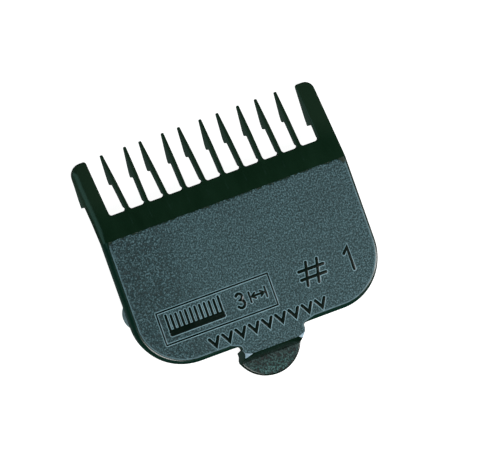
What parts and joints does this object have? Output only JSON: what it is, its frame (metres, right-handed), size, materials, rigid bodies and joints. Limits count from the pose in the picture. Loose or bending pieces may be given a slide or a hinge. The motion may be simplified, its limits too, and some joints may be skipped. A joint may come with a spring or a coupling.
{
  "type": "clipper guard comb",
  "caption": "Clip-on hair clipper guard comb: a flat plate with side rails, a sloped front with a row of hooked teeth between broad end teeth, and a sprung release tab with a catch lip.",
  "frame": {"origin": "under the middle of the comb, at the level of the undersides of the hooks and the thumb pad", "axes": "+Z out of the marked outer face, +Y towards the tooth tips, +X along the row of teeth to the right when the marked face is looked at with the teeth up"},
  "size_m": [0.05, 0.0488, 0.0061],
  "materials": {
    "grained_plastic": "dark green-black plastic with a fine moulded grain",
    "polished_plastic": "the same dark plastic, smooth and satin-glossy"
  },
  "bodies": {
    "comb_body": {"face_plate": "grained_plastic", "front_slope": "polished_plastic", "side_rail_left": "polished_plastic", "corner_rail_left": "polished_plastic", "rear_rail_left": "polished_plastic", "locating_lug_left": "polished_plastic", "front_rail_left": "polished_plastic", "end_tooth_left": "polished_plastic", "end_hook_left": "polished_plastic", "side_rail_right": "polished_plastic", "corner_rail_right": "polished_plastic", "rear_rail_right": "polished_plastic", "locating_lug_right": "polished_plastic", "front_rail_right": "polished_plastic", "end_tooth_right": "polished_plastic", "end_hook_right": "polished_plastic", "tooth_rib_01": "polished_plastic", "tooth_hook_01": "polished_plastic", "tooth_rib_02": "polished_plastic", "tooth_hook_02": "polished_plastic", "tooth_rib_03": "polished_plastic", "tooth_hook_03": "polished_plastic", "tooth_rib_04": "polished_plastic", "tooth_hook_04": "polished_plastic", "tooth_rib_05": "polished_plastic", "tooth_hook_05": "polished_plastic", "tooth_rib_06": "polished_plastic", "tooth_hook_06": "polished_plastic", "tooth_rib_07": "polished_plastic", "tooth_hook_07": "polished_plastic", "tooth_rib_08": "polished_plastic", "tooth_hook_08": "polished_plastic", "tooth_rib_09": "polished_plastic", "tooth_hook_09": "polished_plastic", "tooth_rib_10": "polished_plastic", "tooth_hook_10": "polished_plastic", "label_frame": "grained_plastic", "size_hash": "grained_plastic", "size_numeral": "grained_plastic"},
    "release_tab": {"tab_tongue": "grained_plastic", "tab_step": "polished_plastic", "thumb_pad": "grained_plastic", "catch_lip": "polished_plastic"}
  },
  "joints": [
    {"name": "release_tab_flex", "type": "hinge", "parent": "comb_body", "child": "release_tab", "pos_m": [0, -0.01705, 0.006], "axis": [-1, 0, 0], "range_deg": [0, 12], "stiffness_Nm_per_rad": 0.1}
  ]
}
